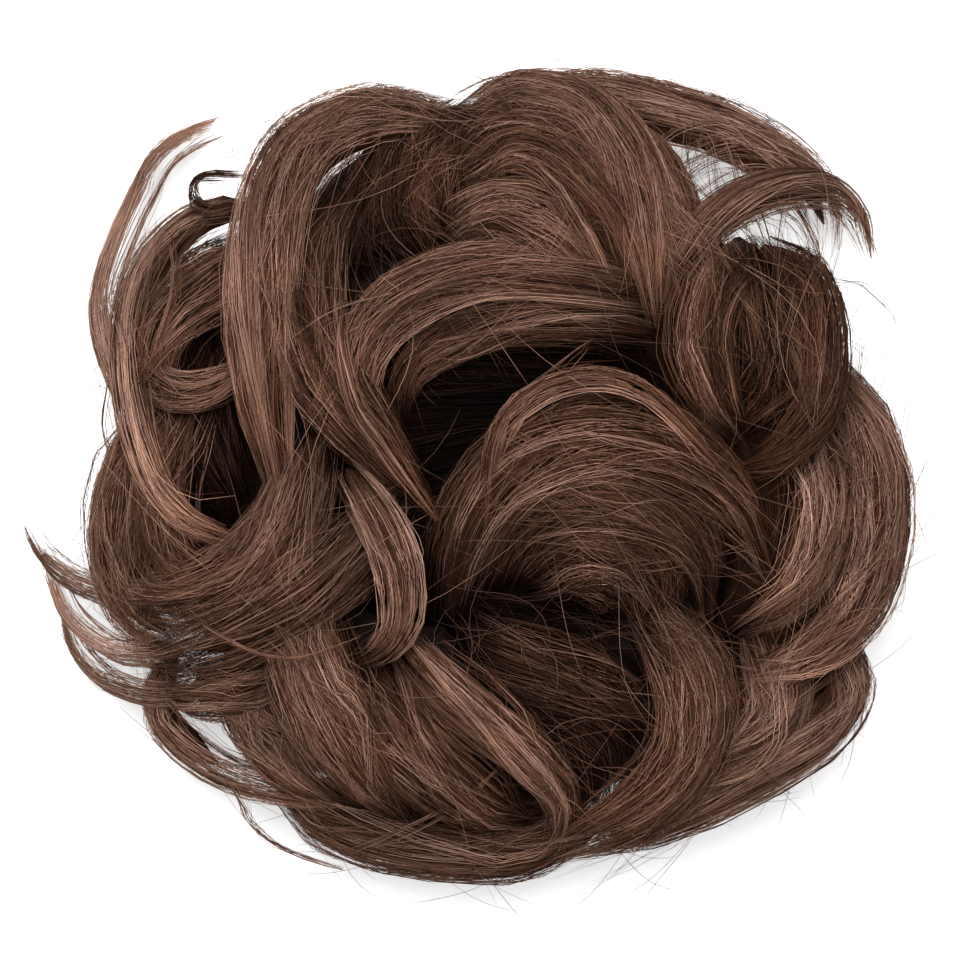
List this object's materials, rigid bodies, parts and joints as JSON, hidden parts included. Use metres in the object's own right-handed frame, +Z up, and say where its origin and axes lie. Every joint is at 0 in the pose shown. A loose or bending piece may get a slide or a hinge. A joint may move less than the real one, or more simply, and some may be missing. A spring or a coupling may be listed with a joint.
{
  "type": "top knot hairpiece",
  "caption": "Messy bun hairpiece: curled brown synthetic locks gathered on a ring of elastic, domed above an open hollow, lying on its elastic.",
  "frame": {"origin": "middle of the floor that the piece covers, at the height of the surface that it lies on", "axes": "+X across the bun, away from the wisps that trail to the left; +Y across it, towards the top of the picture; +Z up, away from the wearer's head"},
  "size_m": [0.1596, 0.1458, 0.0596],
  "materials": {
    "synthetic_fibre": "fine crimped synthetic fibre, low sheen",
    "elastic": "fabric covered elastic, matt"
  },
  "bodies": {
    "root": {"hair_locks": "synthetic_fibre", "elastic_band": "elastic"}
  },
  "joints": []
}
